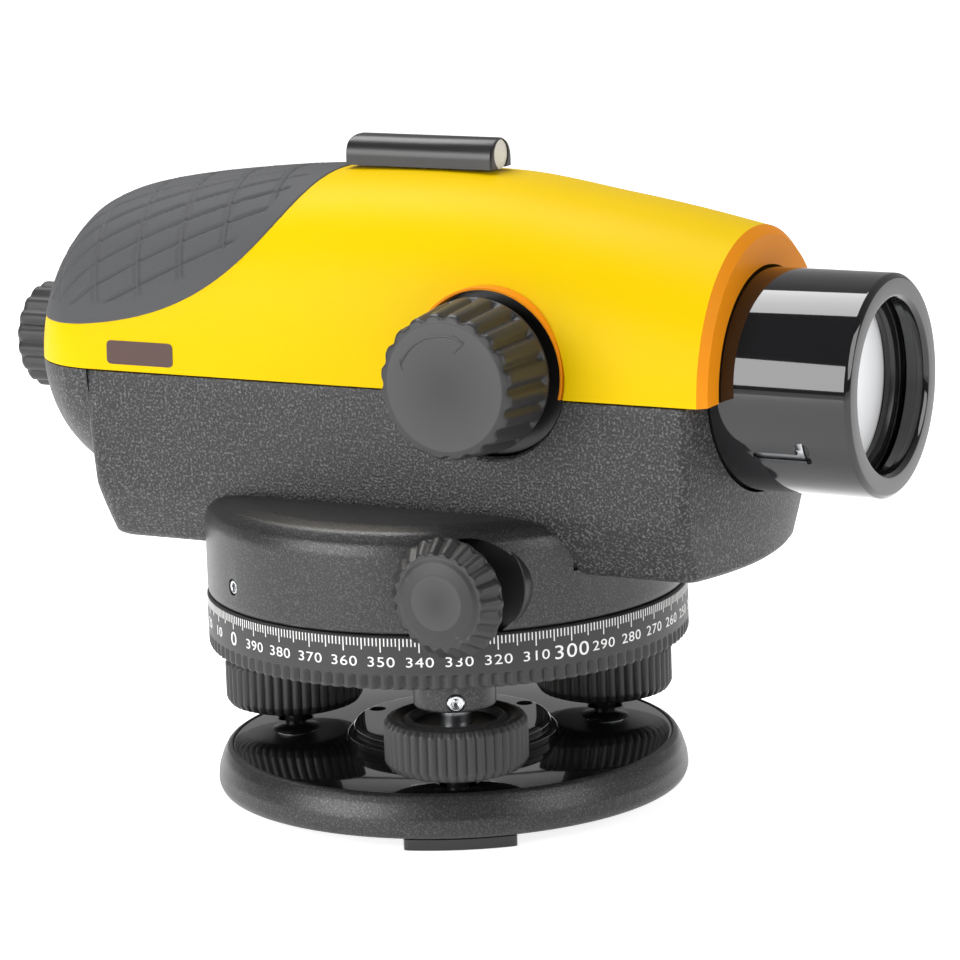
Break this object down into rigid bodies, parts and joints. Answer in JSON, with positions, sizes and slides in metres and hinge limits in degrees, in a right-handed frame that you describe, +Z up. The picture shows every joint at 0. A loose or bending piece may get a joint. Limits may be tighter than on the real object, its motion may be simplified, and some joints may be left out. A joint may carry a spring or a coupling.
{
  "type": "automatic level",
  "caption": "Surveyor's automatic level: telescope body with a rubber grip, focusing and fine-motion knobs, a graduated circle and a three-screw levelling base.",
  "frame": {"origin": "centre of the base plate's underside, on the vertical axis and the tripod thread's axis", "axes": "+X along the telescope towards the objective, +Z up, -Y towards the side with the focusing knob"},
  "size_m": [0.21, 0.112, 0.1457],
  "materials": {
    "base_casting": "satin metallic charcoal paint",
    "speckled_casting": "coarse speckled charcoal paint",
    "black_gloss": "high gloss black",
    "yellow_paint": "smooth satin yellow",
    "grip_rubber": "matt rubber with a diamond pattern",
    "knob_plastic": "fine satin",
    "circle_plastic": "satin with white graduations",
    "steel": "machined",
    "brass": "machined",
    "alloy": "anodised",
    "optical_glass": "polished",
    "mirror_glass": "silvered"
  },
  "bodies": {
    "base": {"base_plate": "base_casting", "thread_insert": "brass", "spring_plate": "black_gloss", "foot_seat_b": "steel"},
    "seats": {"foot_seat_a": "steel", "foot_seat_c": "steel"},
    "head": {"leveling_head": "base_casting", "spindle_bush": "brass", "set_screw_a": "steel", "set_screw_b": "steel", "set_screw_c": "steel"},
    "circle": {"circle_ring": "circle_plastic"},
    "drive": {"worm_wheel": "brass"},
    "instrument": {"lower_casting": "speckled_casting", "turret": "base_casting", "body_spindle": "steel", "spindle_nut": "steel", "index_screw": "steel", "top_cover": "yellow_paint", "rubber_grip": "grip_rubber", "sight_body": "black_gloss", "sight_window": "optical_glass", "telescope_tube": "alloy", "objective_cell": "black_gloss", "objective_crown": "optical_glass", "objective_flint": "optical_glass", "retaining_ring": "black_gloss", "compensator_frame": "alloy", "front_prism": "optical_glass", "rear_prism": "optical_glass", "damper_magnet": "steel", "reticle_holder": "brass", "reticle": "optical_glass", "eyepiece_tube": "alloy", "vial_holder": "knob_plastic", "vial": "optical_glass", "mirror_bracket": "knob_plastic"},
    "hood": {"hood": "black_gloss"},
    "focus": {"focus_knob": "knob_plastic", "focus_shaft": "steel"},
    "carriage": {"lens_carriage": "brass", "focusing_lens": "optical_glass"},
    "pendulum": {"pendulum": "brass", "pendulum_prism": "optical_glass"},
    "eyepiece": {"eyepiece_cell": "brass", "eye_lens": "optical_glass"},
    "diopter": {"diopter_knob": "knob_plastic"},
    "worm": {"fine_shaft": "steel", "fine_knob_near": "knob_plastic", "fine_knob_far": "knob_plastic"},
    "mirror": {"mirror": "mirror_glass"},
    "ball_a": {"foot_ball_a": "steel"},
    "foot_a": {"foot_spindle_a": "steel", "foot_knob_a": "knob_plastic"},
    "ball_b": {"foot_ball_b": "steel"},
    "foot_b": {"foot_spindle_b": "steel", "foot_knob_b": "knob_plastic"},
    "ball_c": {"foot_ball_c": "steel"},
    "foot_c": {"foot_spindle_c": "steel", "foot_knob_c": "knob_plastic"}
  },
  "joints": [
    {"name": "head_pitch", "type": "hinge", "parent": "base", "child": "seats", "pos_m": [0.0202, 0, 0.0083], "axis": [0, 1, 0], "range_deg": [-1.52, 1.52]},
    {"name": "head_roll", "type": "hinge", "parent": "seats", "child": "head", "pos_m": [-0.0404, 0, 0.0083], "axis": [1, 0, 0], "range_deg": [-1.52, 1.52]},
    {"name": "foot_a_slide", "type": "slide", "parent": "head", "child": "ball_a", "axis": [0, 0, 1], "range_m": [-0.0017, 0.0017]},
    {"name": "foot_a_turn", "type": "hinge", "parent": "ball_a", "child": "foot_a", "pos_m": [0.0202, -0.03499, 0.0083], "axis": [0, 0, 1], "range_deg": [-480, 480]},
    {"name": "foot_b_slide", "type": "slide", "parent": "head", "child": "ball_b", "axis": [0, 0, 1], "range_m": [-0.0017, 0.0017]},
    {"name": "foot_b_turn", "type": "hinge", "parent": "ball_b", "child": "foot_b", "pos_m": [-0.0404, 0, 0.0083], "axis": [0, 0, 1], "range_deg": [-830, 830]},
    {"name": "foot_c_slide", "type": "slide", "parent": "head", "child": "ball_c", "axis": [0, 0, 1], "range_m": [-0.0017, 0.0017]},
    {"name": "foot_c_turn", "type": "hinge", "parent": "ball_c", "child": "foot_c", "pos_m": [0.0202, 0.03499, 0.0083], "axis": [0, 0, 1], "range_deg": [-480, 480]},
    {"name": "circle_turn", "type": "hinge", "parent": "head", "child": "circle", "pos_m": [0, 0, 0.0417], "axis": [0, 0, 1], "continuous": true},
    {"name": "coarse_turn", "type": "hinge", "parent": "head", "child": "drive", "pos_m": [0, 0, 0.0567], "axis": [0, 0, 1], "continuous": true},
    {"name": "fine_turn", "type": "hinge", "parent": "drive", "child": "instrument", "pos_m": [0, 0, 0.0567], "axis": [0, 0, 1], "continuous": true},
    {"name": "worm_turn", "type": "hinge", "parent": "instrument", "child": "worm", "pos_m": [0.028, 0, 0.0567], "axis": [0, 1, 0], "continuous": true},
    {"name": "focus_turn", "type": "hinge", "parent": "instrument", "child": "focus", "pos_m": [0.0279, 0, 0.1007], "axis": [0, 1, 0], "range_deg": [-233, 233]},
    {"name": "focus_slide", "type": "slide", "parent": "instrument", "child": "carriage", "axis": [1, 0, 0], "range_m": [-0.0081, 0.0081]},
    {"name": "pendulum_swing", "type": "hinge", "parent": "instrument", "child": "pendulum", "pos_m": [-0.044, 0, 0.1147], "axis": [0, 1, 0], "range_deg": [-0.5, 0.5]},
    {"name": "eyepiece_slide", "type": "slide", "parent": "instrument", "child": "eyepiece", "axis": [1, 0, 0], "range_m": [-0.0017, 0.0017]},
    {"name": "diopter_turn", "type": "hinge", "parent": "eyepiece", "child": "diopter", "pos_m": [-0.098, 0, 0.0969], "axis": [1, 0, 0], "range_deg": [-154, 154]},
    {"name": "mirror_flip", "type": "hinge", "parent": "instrument", "child": "mirror", "pos_m": [0.011, 0.0398, 0.0809], "axis": [0, 1, 0], "range_deg": [-40, 30]},
    {"name": "hood_slide", "type": "slide", "parent": "instrument", "child": "hood", "axis": [1, 0, 0], "range_m": [0, 0.01]}
  ],
  "couplings": [
    {"joint": "foot_b_turn", "follows": "head_pitch", "ratio": -543.94},
    {"joint": "foot_b_slide", "follows": "head_pitch", "m_per_rad": -0.0606},
    {"joint": "foot_a_turn", "follows": "head_roll", "ratio": 314.05},
    {"joint": "foot_a_slide", "follows": "head_roll", "m_per_rad": 0.034987},
    {"joint": "foot_c_turn", "follows": "head_roll", "ratio": -314.05},
    {"joint": "foot_c_slide", "follows": "head_roll", "m_per_rad": -0.034987},
    {"joint": "worm_turn", "follows": "fine_turn", "ratio": 120},
    {"joint": "focus_turn", "follows": "focus_slide", "rad_per_m": -500},
    {"joint": "diopter_turn", "follows": "eyepiece_slide", "rad_per_m": 1570.8}
  ]
}
